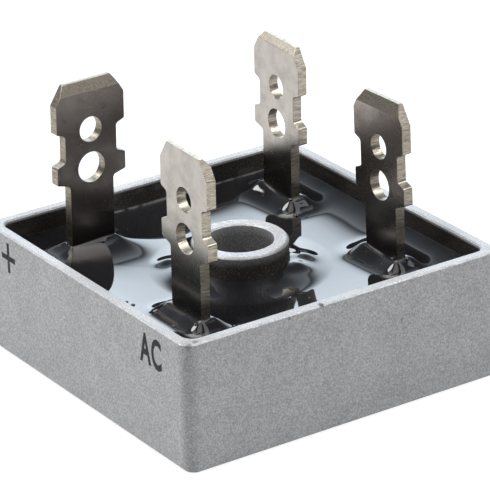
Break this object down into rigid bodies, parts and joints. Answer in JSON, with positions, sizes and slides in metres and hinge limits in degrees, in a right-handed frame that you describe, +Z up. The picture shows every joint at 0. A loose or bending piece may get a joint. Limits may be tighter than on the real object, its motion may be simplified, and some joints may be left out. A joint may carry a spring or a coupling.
{
  "type": "bridge rectifier",
  "caption": "Square metal-cased bridge rectifier, filled with black resin, with a bored screw collar in the middle and an upright quick-connect blade at each corner.",
  "frame": {"origin": "middle of the flat mounting face, on the bore's axis", "axes": "+Z up along the bore, away from the mounting face; -Y is the marked side; the plus blade stands at the -X -Y corner, the minus blade at the +X +Y corner"},
  "size_m": [0.0286, 0.0286, 0.022],
  "materials": {
    "case": "cast, fine sandy silver-grey, with a brighter rim and collar top",
    "potting": "black epoxy poured and cured, mirror smooth with menisci and small bubbles",
    "terminal": "stamped copper alloy with a satin tin plating, darker towards the resin",
    "insulation": "thin glass-fibre sheet",
    "die": "silicon with a grey passivated edge",
    "solder": "dull grey solder"
  },
  "bodies": {
    "root": {"case": "case", "potting": "potting", "insulating_layer": "insulation", "terminal_plus": "terminal", "terminal_minus": "terminal", "terminal_ac_front": "terminal", "terminal_ac_back": "terminal", "die_plus_front": "die", "solder_low_plus_front": "solder", "solder_high_plus_front": "solder", "die_plus_back": "die", "solder_low_plus_back": "solder", "solder_high_plus_back": "solder", "die_minus_front": "die", "solder_low_minus_front": "solder", "solder_high_minus_front": "solder", "die_minus_back": "die", "solder_low_minus_back": "solder", "solder_high_minus_back": "solder"}
  },
  "joints": []
}
